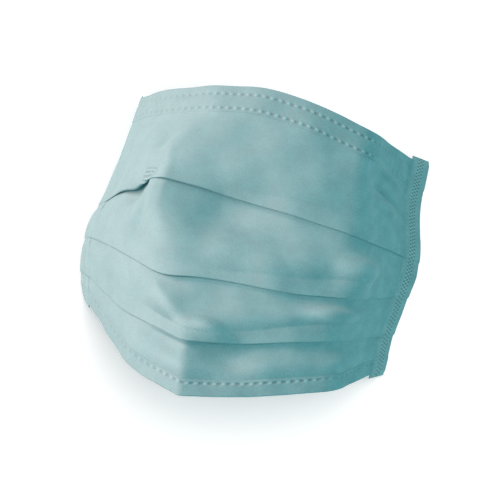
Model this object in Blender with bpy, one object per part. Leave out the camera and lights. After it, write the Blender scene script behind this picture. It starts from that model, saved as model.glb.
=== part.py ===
"""Pleated surgical face mask, opened into its dome and lying on its side bindings.

The body is one rectangle of cloth with three pleats. Its side ends stay folded flat
inside the two bindings, and its middle is opened, so it arches up over a hollow for
the face. A strip of cloth wraps the top edge and another wraps the bottom edge.

+Z points out of the mask's front, +Y to the edge that goes over the nose and +X to
the binding on the right of the photograph. Lengths are in metres.
"""

import bmesh
import bpy
import numpy as np

MM = 0.001

# Overall form of the opened mask
HALF_SPAN = 62.0 * MM  # from the middle to the ends of the bindings
SIDE_HEIGHT = 95.0 * MM  # length of a side, from one hem's edge to the other's
DOME_RISE = 45.0 * MM  # height of the cloth's highest bend above the side edges

# Cloth and its pleats
CLOTH = 1.0 * MM  # thickness of the bonded layers of the body
HEM_CLOTH = 1.0 * MM  # thickness of the strips along the top and bottom edges
BINDING_CLOTH = 1.0 * MM  # thickness of the side bindings
LAYER_GAP = 0.25 * MM  # between the layers of a closed pleat
CLEARANCE = 0.3 * MM  # between one piece and the next
END_GAP = 0.6 * MM  # between the cloth's side ends and the bindings' closed edges
PLEAT_DEPTH = 10.0 * MM  # cloth hidden behind each fold at the sides
OPEN_LAYER_STEP = 2.6 * MM  # height of a pleat's layer over the next one at the front
OPENING_REACH = 32.0 * MM  # way from the binding over which a pleat opens

# Strips
TOP_HEM_WIDTH = 12.0 * MM  # down the front and the back, and it holds the nose pocket
BOTTOM_HEM_WIDTH = 6.5 * MM
BINDING_WIDTH = 9.5 * MM  # across the strip, from its closed edge
BINDING_OVERHANG = 2.0 * MM  # past the hem at each end
REST_CUT = 0.7 * MM  # how much of a binding's lower corner is pressed flat
FOOT_BEND = 2.0 * MM  # reach of the cloth's bend beside the binding

# Bends that every line of the cloth crosses on its way from the left binding to the right
BENDS = ("left edge", "left foot", "left flank", "left ridge", "front left",
         "front right", "right ridge", "right foot", "right edge")

# How far each bend is rounded to either side of its corner
BEND_REACH = {
    "left flank": 9.0 * MM,
    "left ridge": 6.0 * MM,
    "front left": 10.0 * MM,
    "front right": 10.0 * MM,
    "right ridge": 10.0 * MM,
}

# Lines of the cloth from the top edge to the bottom edge, with the place of each bend:
# across in shares of HALF_SPAN, up in shares of SIDE_HEIGHT, rise in shares of DOME_RISE.
# opened is the line's share of the way down the opened front, and fullness is the outward
# bow of the panel that ends at the line.
LINES = (
    {"name": "top edge", "opened": 0.00, "fullness": 0.0 * MM,
     "across": (-1.00, -0.97, -0.79, -0.53, -0.18, 0.16, 0.50, 0.84, 0.95),
     "up": (0.47, 0.45, 0.41, 0.41, 0.42, 0.41, 0.40, 0.45, 0.47),
     "rise": (0.00, 0.27, 0.62, 0.94, 1.00, 0.99, 0.89, 0.12, 0.00)},
    {"name": "first fold", "opened": 0.38, "fullness": 1.5 * MM,
     "across": (-1.05, -0.95, -0.82, -0.67, -0.26, 0.25, 0.62, 0.94, 1.05),
     "up": (-0.02, -0.03, -0.03, -0.03, -0.05, -0.09, -0.09, 0.03, 0.04),
     "rise": (0.00, 0.25, 0.51, 0.81, 0.92, 0.90, 0.73, 0.12, 0.00)},
    {"name": "second fold", "opened": 0.66, "fullness": 1.5 * MM,
     "across": (-1.07, -0.97, -0.80, -0.53, -0.17, 0.30, 0.71, 0.93, 1.04),
     "up": (-0.21, -0.25, -0.33, -0.46, -0.44, -0.42, -0.34, -0.18, -0.14),
     "rise": (0.00, 0.25, 0.49, 0.73, 0.87, 0.83, 0.64, 0.12, 0.00)},
    {"name": "third fold", "opened": 0.86, "fullness": 1.0 * MM,
     "across": (-1.02, -0.89, -0.62, -0.25, -0.01, 0.38, 0.68, 0.90, 1.00),
     "up": (-0.37, -0.43, -0.60, -0.72, -0.70, -0.63, -0.55, -0.39, -0.34),
     "rise": (0.00, 0.22, 0.51, 0.73, 0.83, 0.81, 0.64, 0.13, 0.00)},
    {"name": "bottom edge", "opened": 1.00, "fullness": 0.5 * MM,
     "across": (-0.96, -0.83, -0.54, -0.22, 0.13, 0.46, 0.74, 0.89, 0.98),
     "up": (-0.47, -0.55, -0.78, -0.92, -0.89, -0.82, -0.72, -0.53, -0.48),
     "rise": (0.00, 0.20, 0.47, 0.65, 0.77, 0.75, 0.59, 0.14, 0.00)},
)

# Dents and lumps of the body: place along the line as a share of its way across, place
# down the cloth as a share of the opened front, spread to either side, and height.
LUMPS = (
    {"name": "pinch at the left ridge", "across": 0.27, "down": 0.36, "spread": 7.0 * MM,
     "height": 2.0 * MM},
    {"name": "hollow under the pinch", "across": 0.22, "down": 0.47, "spread": 8.0 * MM,
     "height": -2.5 * MM},
    {"name": "full third panel", "across": 0.42, "down": 0.80, "spread": 10.0 * MM,
     "height": 1.5 * MM},
    {"name": "hollow of the right side", "across": 0.80, "down": 0.22, "spread": 14.0 * MM,
     "height": -2.0 * MM},
)

# Places where a binding is bent in or out: place down the cloth as a share of the opened
# front, spread to either side as the same share, and how far it goes towards the middle.
SIDE_DENTS = (
    {"name": "left side above the first fold", "side": "left", "down": 0.30,
     "spread": 0.11, "inward": 2.0 * MM},
    {"name": "right side under the top hem", "side": "right", "down": 0.17,
     "spread": 0.13, "inward": 2.2 * MM},
)

# Number of steps in the meshes
LINE_STEPS = 16  # between one line of the table and the next
FOOT_STEPS = 2
ACROSS_STEPS = 20  # across the opened cloth between the feet
RISE_STEPS = 5  # down the sloping part of a panel
FLAT_STEPS = 3  # down each of its flat margins, and back behind a fold
TURN_STEPS = 4
HEM_STEPS = 3
BINDING_STEPS = 22

# Looks: colour, roughness
BODY_LOOK = ((0.21, 0.42, 0.43, 1.0), 0.85)
HEM_LOOK = ((0.26, 0.47, 0.48, 1.0), 0.80)
BINDING_LOOK = ((0.24, 0.45, 0.46, 1.0), 0.80)

# Sizes that follow from the ones above
PLEATS = len(LINES) - 2
CLOTH_HEIGHT = SIDE_HEIGHT + 2 * PLEATS * PLEAT_DEPTH
CLOSED_LAYER_STEP = CLOTH + LAYER_GAP
HEM_LEVEL = (CLOTH + HEM_CLOTH) / 2 + CLEARANCE
STACK_HALF = max(CLOSED_LAYER_STEP + CLOTH / 2, HEM_LEVEL + HEM_CLOTH / 2)
SLOT_HALF = STACK_HALF + CLEARANCE
BINDING_HALF = SLOT_HALF + BINDING_CLOTH
CLOSED_EDGE = END_GAP + BINDING_CLOTH  # outside of the binding, past the cloth's side end
PAST_EDGE = 2 * (HEM_LEVEL + HEM_CLOTH + BINDING_OVERHANG)  # cloth line past each hem
LIP_WIDTH = BINDING_WIDTH - CLOSED_EDGE + 2 * CLEARANCE  # cloth that stays flat in a binding
FOOT_WIDTH = LIP_WIDTH + FOOT_BEND


def unit(vectors):
    """The same directions with a length of one."""
    return vectors / np.linalg.norm(vectors, axis=-1, keepdims=True)


def ease(share):
    """Rises from 0 to 1 and starts and ends level."""
    share = np.clip(share, 0.0, 1.0)
    return share * share * (3 - 2 * share)


def curve_through(knots, values, places):
    """Smooth curve through the values at the knots, read at the places."""
    knots = np.asarray(knots)
    values = np.asarray(values)
    slopes = np.gradient(values, knots, axis=0)
    first = np.clip(np.searchsorted(knots, places, side="right") - 1, 0, len(knots) - 2)
    gap = (knots[first + 1] - knots[first])[:, None]
    share = ((places - knots[first]) / gap[:, 0])[:, None]
    start = (1 + 2 * share) * (1 - share) ** 2
    end = share ** 2 * (3 - 2 * share)
    leave = share * (1 - share) ** 2 * gap
    arrive = share ** 2 * (share - 1) * gap
    return (start * values[first] + end * values[first + 1]
            + leave * slopes[first] + arrive * slopes[first + 1])


def lengths_along(points):
    """Distance of each point from the first one, along the points."""
    steps = np.linalg.norm(np.diff(points, axis=0), axis=1)
    return np.concatenate(([0.0], np.cumsum(steps)))


def read_at(along, rows, lengths):
    """Rows of three numbers, known at the lengths along, read at other lengths."""
    return np.stack([np.interp(lengths, along, rows[:, axis]) for axis in range(3)], axis=1)


def rounded_chain(corners, reaches):
    """Straight runs between the corners, each corner replaced by a parabola of that reach."""
    chain = [corners[0]]
    for before, corner, after, reach in zip(corners, corners[1:], corners[2:], reaches):
        back = corner + reach * unit(before - corner)
        ahead = corner + reach * unit(after - corner)
        for share in np.linspace(0.0, 1.0, 9):
            chain.append((1 - share) ** 2 * back + 2 * share * (1 - share) * corner
                         + share ** 2 * ahead)
    chain.append(corners[-1])
    return np.array(chain)


class OpenedCloth:
    """The middle surface of the opened mask, without its pleats.

    places[line, column] is a grid of points on it. Columns run down the cloth, from the
    top edge to the bottom edge, and lines run across it, from the left binding to the right.
    The first and the last line lie past the edges, where the hems turn.
    """

    def __init__(self, lines=LINES):
        self.knots = np.array([line["opened"] for line in lines])
        steps = np.arange(LINE_STEPS * (len(lines) - 1) + 1)
        self.down = np.interp(steps / LINE_STEPS, np.arange(len(lines)), self.knots)
        bends = np.array([self.bends_of(line) for line in lines])
        flat = bends.reshape(len(lines), -1)
        smooth = curve_through(self.knots, flat, self.down)
        self.bends = smooth.reshape(len(self.down), len(BENDS), 3)
        self.dent_sides()
        self.go_past_edges()
        self.stand_on_floor()
        self.places = np.array([self.line_points(corners) for corners in self.bends])
        self.normals = self.outward(self.places)
        self.add_lumps()
        self.normals = self.outward(self.places)

    def bends_of(self, line):
        """Places of one line's bends."""
        across = np.array(line["across"]) * HALF_SPAN
        up = np.array(line["up"]) * SIDE_HEIGHT
        rise = np.array(line["rise"]) * DOME_RISE
        return np.stack([across, up, rise], axis=1)

    def dent_sides(self):
        """Bends the sides in, with the foot next to each edge."""
        for dent in SIDE_DENTS:
            inward = dent["inward"] * np.exp(-((self.down - dent["down"]) / dent["spread"]) ** 2)
            if dent["side"] == "left":
                self.bends[:, :2, 0] += inward[:, None]
            else:
                self.bends[:, -2:, 0] -= inward[:, None]

    def go_past_edges(self):
        """Adds a line past the top edge and one past the bottom edge."""
        top_step = self.bends[0] - self.bends[1]
        low_step = self.bends[-1] - self.bends[-2]
        top = self.bends[0] + top_step * PAST_EDGE / np.linalg.norm(top_step[0])
        low = self.bends[-1] + low_step * PAST_EDGE / np.linalg.norm(low_step[0])
        self.bends = np.concatenate((top[None], self.bends, low[None]))

    def stand_on_floor(self):
        """Puts each foot at its width and lifts the cloth until the bindings touch z = 0."""
        for edge, foot in ((0, 1), (-1, -2)):
            inward = unit(self.bends[:, foot] - self.bends[:, edge])
            along = unit(np.gradient(self.bends[:, edge], axis=0))
            tilt = np.abs(unit(np.cross(inward, along))[:, 2])
            height = CLOSED_EDGE * inward[:, 2] + BINDING_HALF * tilt - REST_CUT
            self.bends[:, edge, 2] = height
            self.bends[:, foot] = self.bends[:, edge] + FOOT_WIDTH * inward
        self.bends[:, 2:-2, 2] += BINDING_HALF

    def line_points(self, corners):
        """Points of one line at the columns."""
        reaches = [BEND_REACH.get(name, FOOT_BEND) for name in BENDS[1:-1]]
        chain = rounded_chain(corners, reaches)
        full = lengths_along(chain)[-1]
        foot = np.linspace(0.0, LIP_WIDTH, FOOT_STEPS + 1)
        middle = np.linspace(FOOT_WIDTH, full - FOOT_WIDTH, ACROSS_STEPS + 1)
        lengths = np.concatenate((foot, middle, full - foot[::-1]))
        return read_at(lengths_along(chain), chain, lengths)

    def outward(self, places):
        """Unit normals that point out of the mask's front, level inside each binding."""
        across = np.gradient(places, axis=1)
        down = np.gradient(places, axis=0)
        normals = unit(np.cross(down, across))
        normals[:, 1:FOOT_STEPS + 1] = normals[:, :1]
        normals[:, -FOOT_STEPS - 1:-1] = normals[:, -1:]
        return normals

    def add_lumps(self):
        """Raises the lumps and sinks the dents along the cloth's normals, off the bindings."""
        columns = np.linspace(0.0, 1.0, self.places.shape[1])
        open_share = np.array([self.openness(column) for column in range(len(columns))])
        for lump in LUMPS:
            line = 1 + np.argmin(np.abs(self.down - lump["down"]))
            column = np.argmin(np.abs(columns - lump["across"]))
            away = np.linalg.norm(self.places - self.places[line, column], axis=2)
            height = lump["height"] * open_share * np.exp(-(away / lump["spread"]) ** 2)
            self.places = self.places + self.normals * height[:, :, None]

    def lengths_down(self, column):
        """Distance of each point of a column from the top edge."""
        along = lengths_along(self.places[:, column])
        return along - along[1]

    def openness(self, column):
        """0 inside the bindings and 1 where the pleats are fully open."""
        line = self.places[len(self.down) // 2]
        along = lengths_along(line)
        away = min(along[column], along[-1] - along[column])
        return ease((away - FOOT_WIDTH) / OPENING_REACH)

    def raised(self, column, lengths, levels):
        """Points of a column at lengths down from the top edge, raised to the levels."""
        down = self.lengths_down(column)
        points = read_at(down, self.places[:, column], lengths)
        normals = read_at(down, self.normals[:, column], lengths)
        return points + unit(normals) * levels[:, None]


def turn(length, level, step, way):
    """Half circle that takes the cloth down one layer; way is 1 down the cloth, -1 back up."""
    angles = np.linspace(0.0, np.pi, TURN_STEPS + 1)[1:-1]
    lengths = length + way * step / 2 * np.sin(angles)
    levels = level - step / 2 + step / 2 * np.cos(angles)
    return lengths, levels


def panel(start, end, low, high, bow, top_flat, bottom_flat):
    """Run of cloth that rises from low to high between its two flat margins."""
    share = np.linspace(0.0, 1.0, RISE_STEPS + 1)
    rising = start + top_flat + share * (end - start - top_flat - bottom_flat)
    levels = low + (high - low) * ease(share) + bow * 4 * share * (1 - share)
    flat = np.linspace(0.0, 1.0, FLAT_STEPS + 1)
    lengths = np.concatenate((start + top_flat * flat[:-1], rising,
                              end - bottom_flat * flat[-2::-1]))
    levels = np.concatenate((np.full(FLAT_STEPS, low), levels, np.full(FLAT_STEPS, high)))
    return lengths, levels


def pleated_column(cloth, column):
    """Lengths and levels of the body along one column: panels joined by three pleats."""
    marks = cloth.lengths_down(column)[1:-1:LINE_STEPS]
    open_share = cloth.openness(column)
    step = CLOSED_LAYER_STEP + (OPEN_LAYER_STEP - CLOSED_LAYER_STEP) * open_share
    depth = (CLOTH_HEIGHT - marks[-1]) / (2 * PLEATS)
    margin = depth + (step + CLOTH) / 2
    lengths = []
    levels = []
    start = 0.0
    low = 0.0
    top_flat = TOP_HEM_WIDTH + CLEARANCE
    for index, line in enumerate(LINES[1:], start=1):
        last = index == len(LINES) - 1
        high = 0.0 if last else step
        bottom_flat = BOTTOM_HEM_WIDTH + CLEARANCE if last else margin
        run = panel(start, marks[index], low, high, line["fullness"] * open_share,
                    top_flat, bottom_flat)
        lengths.append(run[0])
        levels.append(run[1])
        if last:
            break
        fold = marks[index]
        inner = fold - depth
        returning = np.linspace(fold, inner, FLAT_STEPS + 1)
        for piece in (turn(fold, step, step, 1), (returning, np.zeros(len(returning))),
                      turn(inner, 0.0, step, -1)):
            lengths.append(piece[0])
            levels.append(piece[1])
        start = inner
        low = -step
        top_flat = margin
    return np.concatenate(lengths), np.concatenate(levels)


def hem_column(cloth, column, width, at_bottom):
    """Lengths and levels of a hem: down the front, around the edge and along the back."""
    edge = cloth.lengths_down(column)[-2] if at_bottom else 0.0
    way = 1 if at_bottom else -1
    leaf = edge - way * np.linspace(width, 0.0, HEM_STEPS + 1)
    around = turn(edge, HEM_LEVEL, 2 * HEM_LEVEL, way)
    lengths = np.concatenate((leaf, around[0], leaf[::-1]))
    levels = np.concatenate((np.full(len(leaf), HEM_LEVEL), around[1],
                             np.full(len(leaf), -HEM_LEVEL)))
    return lengths, levels


def material(name, look):
    """Plain cloth material."""
    colour, roughness = look
    made = bpy.data.materials.new(name)
    made.use_nodes = True
    shader = made.node_tree.nodes["Principled BSDF"]
    shader.inputs["Base Color"].default_value = colour
    shader.inputs["Roughness"].default_value = roughness
    shader.inputs["Metallic"].default_value = 0.0
    return made


def object_from(mesh_builder, name, look):
    """Object made from a finished bmesh."""
    mesh = bpy.data.meshes.new(name)
    mesh_builder.to_mesh(mesh)
    mesh_builder.free()
    mesh.materials.append(material(name + "_cloth", look))
    mesh.shade_smooth()
    made = bpy.data.objects.new(name, mesh)
    bpy.context.collection.objects.link(made)
    return made


def sheet(name, grid, thickness, look):
    """Cloth of one thickness whose middle surface is the grid of points."""
    builder = bmesh.new()
    rows = [[builder.verts.new(point) for point in row] for row in grid]
    for row, following in zip(rows, rows[1:]):
        for first in range(len(row) - 1):
            builder.faces.new((row[first], following[first], following[first + 1],
                               row[first + 1]))
    made = object_from(builder, name, look)
    solidify = made.modifiers.new("thickness", "SOLIDIFY")
    solidify.thickness = thickness
    solidify.offset = 0.0
    return made


def pleated_body(cloth):
    """The body, one folded sheet."""
    columns = range(cloth.places.shape[1])
    grid = [cloth.raised(column, *pleated_column(cloth, column)) for column in columns]
    return sheet("pleated_body", grid, CLOTH, BODY_LOOK)


def hem(cloth, name, width, at_bottom):
    """A strip folded over the top or bottom edge."""
    columns = range(cloth.places.shape[1])
    grid = [cloth.raised(column, *hem_column(cloth, column, width, at_bottom))
            for column in columns]
    return sheet(name, grid, HEM_CLOTH, HEM_LOOK)


def cut_at_floor(upper, lower):
    """Point where the way from upper to lower passes z = 0."""
    share = upper[2] / (upper[2] - lower[2])
    return upper + (lower - upper) * share


def binding_ring(edge, inward, normal):
    """Section of a binding: a channel whose lower outer corner is pressed flat on z = 0."""
    def corner(reach, level):
        return edge + inward * reach + normal * level

    end = BINDING_WIDTH - CLOSED_EDGE
    top_tip = corner(end, BINDING_HALF)
    top_corner = corner(-CLOSED_EDGE, BINDING_HALF)
    low_corner = corner(-CLOSED_EDGE, -BINDING_HALF)
    low_tip = corner(end, -BINDING_HALF)
    outer = [top_tip, top_corner, cut_at_floor(top_corner, low_corner),
             cut_at_floor(low_tip, low_corner), low_tip]
    inner = [corner(end, -SLOT_HALF), corner(-END_GAP, -SLOT_HALF),
             corner(-END_GAP, SLOT_HALF), corner(end, SLOT_HALF)]
    return outer + inner


def binding(cloth, name, side):
    """Strip folded over a side end of the body and of both hems."""
    edge_column = 0 if side == "left" else -1
    foot_column = 1 if side == "left" else -2
    edges = cloth.bends[:, edge_column]
    inwards = unit(cloth.bends[:, foot_column] - edges)
    normals = cloth.normals[:, edge_column]
    down = cloth.lengths_down(edge_column)
    past = HEM_LEVEL + HEM_CLOTH / 2 + BINDING_OVERHANG
    lengths = np.linspace(-past, down[-2] + past, BINDING_STEPS + 1)
    sections = zip(read_at(down, edges, lengths), unit(read_at(down, inwards, lengths)),
                   unit(read_at(down, normals, lengths)))
    builder = bmesh.new()
    rings = [[builder.verts.new(point) for point in binding_ring(*section)]
             for section in sections]
    for ring, following in zip(rings, rings[1:]):
        for first in range(len(ring)):
            second = (first + 1) % len(ring)
            builder.faces.new((ring[first], ring[second], following[second], following[first]))
    builder.faces.new(rings[0])
    builder.faces.new(list(reversed(rings[-1])))
    bmesh.ops.recalc_face_normals(builder, faces=builder.faces)
    made = object_from(builder, name, BINDING_LOOK)
    made.data.set_sharp_from_angle(angle=np.radians(40))
    return made


def stand_in_middle(pieces):
    """Moves the pieces together until their box stands on z = 0 around the origin."""
    bpy.context.view_layer.update()
    graph = bpy.context.evaluated_depsgraph_get()
    points = []
    for piece in pieces:
        mesh = piece.evaluated_get(graph).to_mesh()
        points.extend(piece.matrix_world @ vertex.co for vertex in mesh.vertices)
    points = np.array(points)
    low = points.min(axis=0)
    high = points.max(axis=0)
    shift = (-(low[0] + high[0]) / 2, -(low[1] + high[1]) / 2, -low[2])
    for piece in pieces:
        piece.location = shift


def build_mask():
    """Builds every piece of the mask."""
    for old in list(bpy.data.objects):
        bpy.data.objects.remove(old)
    cloth = OpenedCloth()
    pieces = [
        pleated_body(cloth),
        hem(cloth, "top_hem", TOP_HEM_WIDTH, at_bottom=False),
        hem(cloth, "bottom_hem", BOTTOM_HEM_WIDTH, at_bottom=True),
        binding(cloth, "left_binding", "left"),
        binding(cloth, "right_binding", "right"),
    ]
    stand_in_middle(pieces)


build_mask()
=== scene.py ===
# %% [markdown]
# # A pleated face mask, opened and laid down
# The real mask is one rectangle of bonded, non-woven cloth. Three pleats are folded into it,
# a strip wraps the top edge and the bottom edge, and a narrow binding is welded over each side.
# It was opened like a fan, so its middle arches up while its sides stay folded.
#
# Blender could get there with a cloth simulation, but a simulated fold never lands where the
# real one lies. Here the folds are worked out instead: first the smooth arch, then the pleats
# folded along it, and then the strips that wrap it.

import bpy
import numpy as np
from mathutils import Matrix, Vector


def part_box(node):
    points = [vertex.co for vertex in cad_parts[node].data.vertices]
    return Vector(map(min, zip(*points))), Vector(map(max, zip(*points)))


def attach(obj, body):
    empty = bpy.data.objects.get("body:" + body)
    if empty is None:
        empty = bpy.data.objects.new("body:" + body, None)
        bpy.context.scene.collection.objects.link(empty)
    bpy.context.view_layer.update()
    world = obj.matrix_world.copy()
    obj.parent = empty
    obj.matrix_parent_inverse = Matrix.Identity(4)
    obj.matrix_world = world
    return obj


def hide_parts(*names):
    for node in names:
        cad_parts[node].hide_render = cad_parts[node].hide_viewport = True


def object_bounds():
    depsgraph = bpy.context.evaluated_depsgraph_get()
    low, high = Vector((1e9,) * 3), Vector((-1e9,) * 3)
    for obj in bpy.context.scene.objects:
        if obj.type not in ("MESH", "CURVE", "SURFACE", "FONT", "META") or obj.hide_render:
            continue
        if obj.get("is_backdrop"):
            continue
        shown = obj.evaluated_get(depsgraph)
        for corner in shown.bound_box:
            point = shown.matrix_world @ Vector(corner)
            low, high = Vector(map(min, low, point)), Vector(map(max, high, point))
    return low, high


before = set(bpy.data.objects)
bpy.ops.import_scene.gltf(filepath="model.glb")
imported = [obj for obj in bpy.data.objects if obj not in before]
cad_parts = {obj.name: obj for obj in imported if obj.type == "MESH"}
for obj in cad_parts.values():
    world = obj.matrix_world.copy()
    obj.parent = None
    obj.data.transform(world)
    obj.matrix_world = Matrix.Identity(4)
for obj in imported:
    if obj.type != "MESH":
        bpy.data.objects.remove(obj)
cad_low, cad_high = (np.array(corner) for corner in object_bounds())
print("CAD box in mm:", np.round((cad_high - cad_low) * 1000, 1))

# %% [markdown]
# ## Sizes
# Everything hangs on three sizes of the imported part: half its width, the length of its sides
# and its height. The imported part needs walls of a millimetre. The cloth here is thinner, so
# that the folded layers lie as close together as on the real mask.

# %% Driving sizes from the frame, and the thin cloth's own sizes
MM = 0.001
binding_low, binding_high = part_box("left_binding")
HALF_SPAN = 0.918 * (cad_high[0] - cad_low[0]) / 2
SIDE_HEIGHT = 0.945 * (binding_high.y - binding_low.y)
DOME_RISE = 0.905 * (cad_high[2] - cad_low[2])
BEND_LIFT = 0.062 * (cad_high[2] - cad_low[2])

CLOTH = 0.22 * MM
HEM_CLOTH = 0.16 * MM
BINDING_CLOTH = 0.18 * MM
PLEATS = 3
PLEAT_DEPTH = 0.105 * SIDE_HEIGHT
CLOTH_HEIGHT = SIDE_HEIGHT + 2 * PLEATS * PLEAT_DEPTH
TOP_HEM_WIDTH = 0.126 * SIDE_HEIGHT
BOTTOM_HEM_WIDTH = 0.068 * SIDE_HEIGHT
BINDING_WIDTH = 0.090 * SIDE_HEIGHT
BINDING_OVERHANG = 1.6 * MM
# steps between the layers of a closed and of an open pleat, and a hem's level over the body
CLOSED_STEP = CLOTH + 0.05 * MM
OPEN_STEP = 0.32 * MM
HEM_LEVEL = (CLOTH + HEM_CLOTH) / 2 + 0.10 * MM
# space between the cloth's end and its binding, and how far the binding reaches under the arch
END_GAP = 0.4 * MM
BINDING_REACH = CLOSED_STEP + CLOTH / 2 + 0.1 * MM + BINDING_CLOTH
# the part of each side inside its binding, the straight foot it belongs to, and the lift that
# brings the bindings' lowest point to the floor
LIP_WIDTH = 0.078 * SIDE_HEIGHT
FOOT_WIDTH = LIP_WIDTH + 2.0 * MM
FLOOR_GAP = 0.6 * MM
print("cloth", round(CLOTH_HEIGHT / MM), "mm high, pleats", round(PLEAT_DEPTH / MM, 1), "mm deep")

# %% [markdown]
# ## The opened arch
# The arch is described by five lines that cross the cloth from the left binding to the right:
# the two edges and the three folds. Each line is a chain of nine bends. A bend's place is a
# share of the driving sizes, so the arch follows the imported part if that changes. The reach
# of a bend says how soft it is: the ridges get sharper towards the bottom edge.

# %% Five lines of nine bends
LINES_DOWN = np.array([0.00, 0.38, 0.66, 0.86, 1.00])
ACROSS = np.array([
    [-0.99, -1.02, -0.80, -0.43, -0.14, 0.16, 0.57, 0.84, 0.95],
    [-1.105, -1.02, -0.88, -0.62, -0.24, 0.25, 0.66, 0.92, 1.03],
    [-1.12, -1.04, -0.86, -0.46, -0.15, 0.30, 0.70, 0.91, 1.01],
    [-1.08, -0.97, -0.69, -0.23, 0.06, 0.38, 0.67, 0.885, 0.975],
    [-1.02, -0.92, -0.54, -0.18, 0.15, 0.45, 0.73, 0.88, 0.97]])
UP = np.array([
    [0.465, 0.445, 0.41, 0.403, 0.418, 0.395, 0.362, 0.46, 0.475],
    [-0.05, -0.06, -0.066, -0.062, -0.065, -0.098, -0.105, 0.0, 0.01],
    [-0.21, -0.25, -0.337, -0.48, -0.445, -0.435, -0.36, -0.20, -0.16],
    [-0.37, -0.43, -0.607, -0.738, -0.70, -0.63, -0.55, -0.39, -0.34],
    [-0.47, -0.56, -0.85, -0.96, -0.905, -0.835, -0.75, -0.57, -0.51]])
RISE = np.array([
    [0.00, 0.27, 0.62, 0.94, 1.02, 1.03, 0.86, 0.12, 0.00],
    [0.00, 0.25, 0.54, 0.91, 0.92, 0.90, 0.75, 0.12, 0.00],
    [0.00, 0.25, 0.52, 0.86, 0.86, 0.83, 0.64, 0.12, 0.00],
    [0.00, 0.22, 0.54, 0.86, 0.81, 0.76, 0.61, 0.13, 0.00],
    [0.00, 0.20, 0.56, 0.80, 0.74, 0.69, 0.56, 0.14, 0.00]])
BEND_REACH = MM * np.array([
    [2, 9, 6, 10, 10, 5, 2],
    [2, 9, 2.5, 10, 10, 7, 2],
    [2, 9, 8, 9, 10, 8, 2],
    [2, 9, 2.5, 9, 10, 8, 2],
    [2, 9, 1.8, 9, 10, 7, 2]])
LINES, BENDS = ACROSS.shape
print(LINES, "lines of", BENDS, "bends")

# %% Where the left ridge and the sides leave those lines
LEFT_RIDGE = 3
# each has a place down and a spread as shares, then the height of its hump: mm to the right
# for the ridge, the share taken off the ridge's reach, and mm inwards for both sides
RIDGE_SHIFTS = ((0.12, 0.06, 3.0), (0.27, 0.05, -3.0), (0.48, 0.09, -4.0), (0.73, 0.08, -2.5))
RIDGE_SHARPENED = (0.75, 0.06, 0.55)
LEFT_DENT = (0.32, 0.10, 1.0)
RIGHT_DENT = (0.17, 0.13, 2.2)
print("left ridge is shifted at", len(RIDGE_SHIFTS), "places")

# %% [markdown]
# ## Reading along curves
# Three small tools do most of the work. One draws a smooth curve through known values, one
# measures distance along rows of points, and one reads many rows at chosen distances at once.
# The last one lays the rows end to end, each shifted past the one before, so a single
# interpolation serves them all.

# %% Curve tools
def unit(vectors):
    """Each vector divided by its own length."""
    return vectors / np.linalg.norm(vectors, axis=-1, keepdims=True)


def ease(share):
    """3 s squared minus 2 s cubed, with s held between 0 and 1."""
    share = np.clip(share, 0.0, 1.0)
    return share * share * (3 - 2 * share)


def hump(distance, spread):
    """e to the power of minus (distance over spread) squared."""
    return np.exp(-(distance / spread) ** 2)


def hump_at(places, form):
    """Hump of a form (place, spread, height) at those places."""
    place, spread, height = form
    return height * hump(places - place, spread)


def curve_through(knots, values, places):
    """Cubic between each two knots, whose slope at a knot is the mean slope around it."""
    slopes = np.gradient(values, knots, axis=0)
    first = np.clip(np.searchsorted(knots, places, side="right") - 1, 0, len(knots) - 2)
    gap = (knots[first + 1] - knots[first])[:, None]
    share = (places - knots[first])[:, None] / gap
    return ((1 + 2 * share) * (1 - share) ** 2 * values[first]
            + share ** 2 * (3 - 2 * share) * values[first + 1]
            + share * (1 - share) ** 2 * gap * slopes[first]
            + share ** 2 * (share - 1) * gap * slopes[first + 1])


def distances(points):
    """Sum of the steps between the points along the second axis, from 0 at the first."""
    steps = np.linalg.norm(np.diff(points, axis=1), axis=2)
    return np.concatenate((np.zeros((len(points), 1)), np.cumsum(steps, axis=1)), axis=1)


def read_rows(known, values, wanted):
    """Straight-line reading of each row of values, known at the row's distances, at others."""
    stride = 2 * max(np.abs(known).max(), np.abs(wanted).max()) + 1
    shift = stride * np.arange(len(known))[:, None]
    flat_known = (known + shift).ravel()
    flat_wanted = (wanted + shift).ravel()
    read = [np.interp(flat_wanted, flat_known, values[..., axis].ravel())
            for axis in range(values.shape[-1])]
    return np.stack(read, axis=-1).reshape(*wanted.shape, values.shape[-1])


# %% [markdown]
# ## Relief of the arch
# A mask that was unfolded by hand is not a clean dome. Above the first fold the cloth is
# pinched at the left ridge, the panel under it is hollow, a long bulge lies over the third fold,
# and wrinkles run out from the right binding. Each such form is one hump or hollow in the
# cloth: a place, a length, a width above and below its crest, a turn and a height. Long narrow
# ones are wrinkles, and one turned by 90 degrees has its two widths to the right and to the
# left. Slow waves over the whole cloth take away the last of the machine look.

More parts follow.
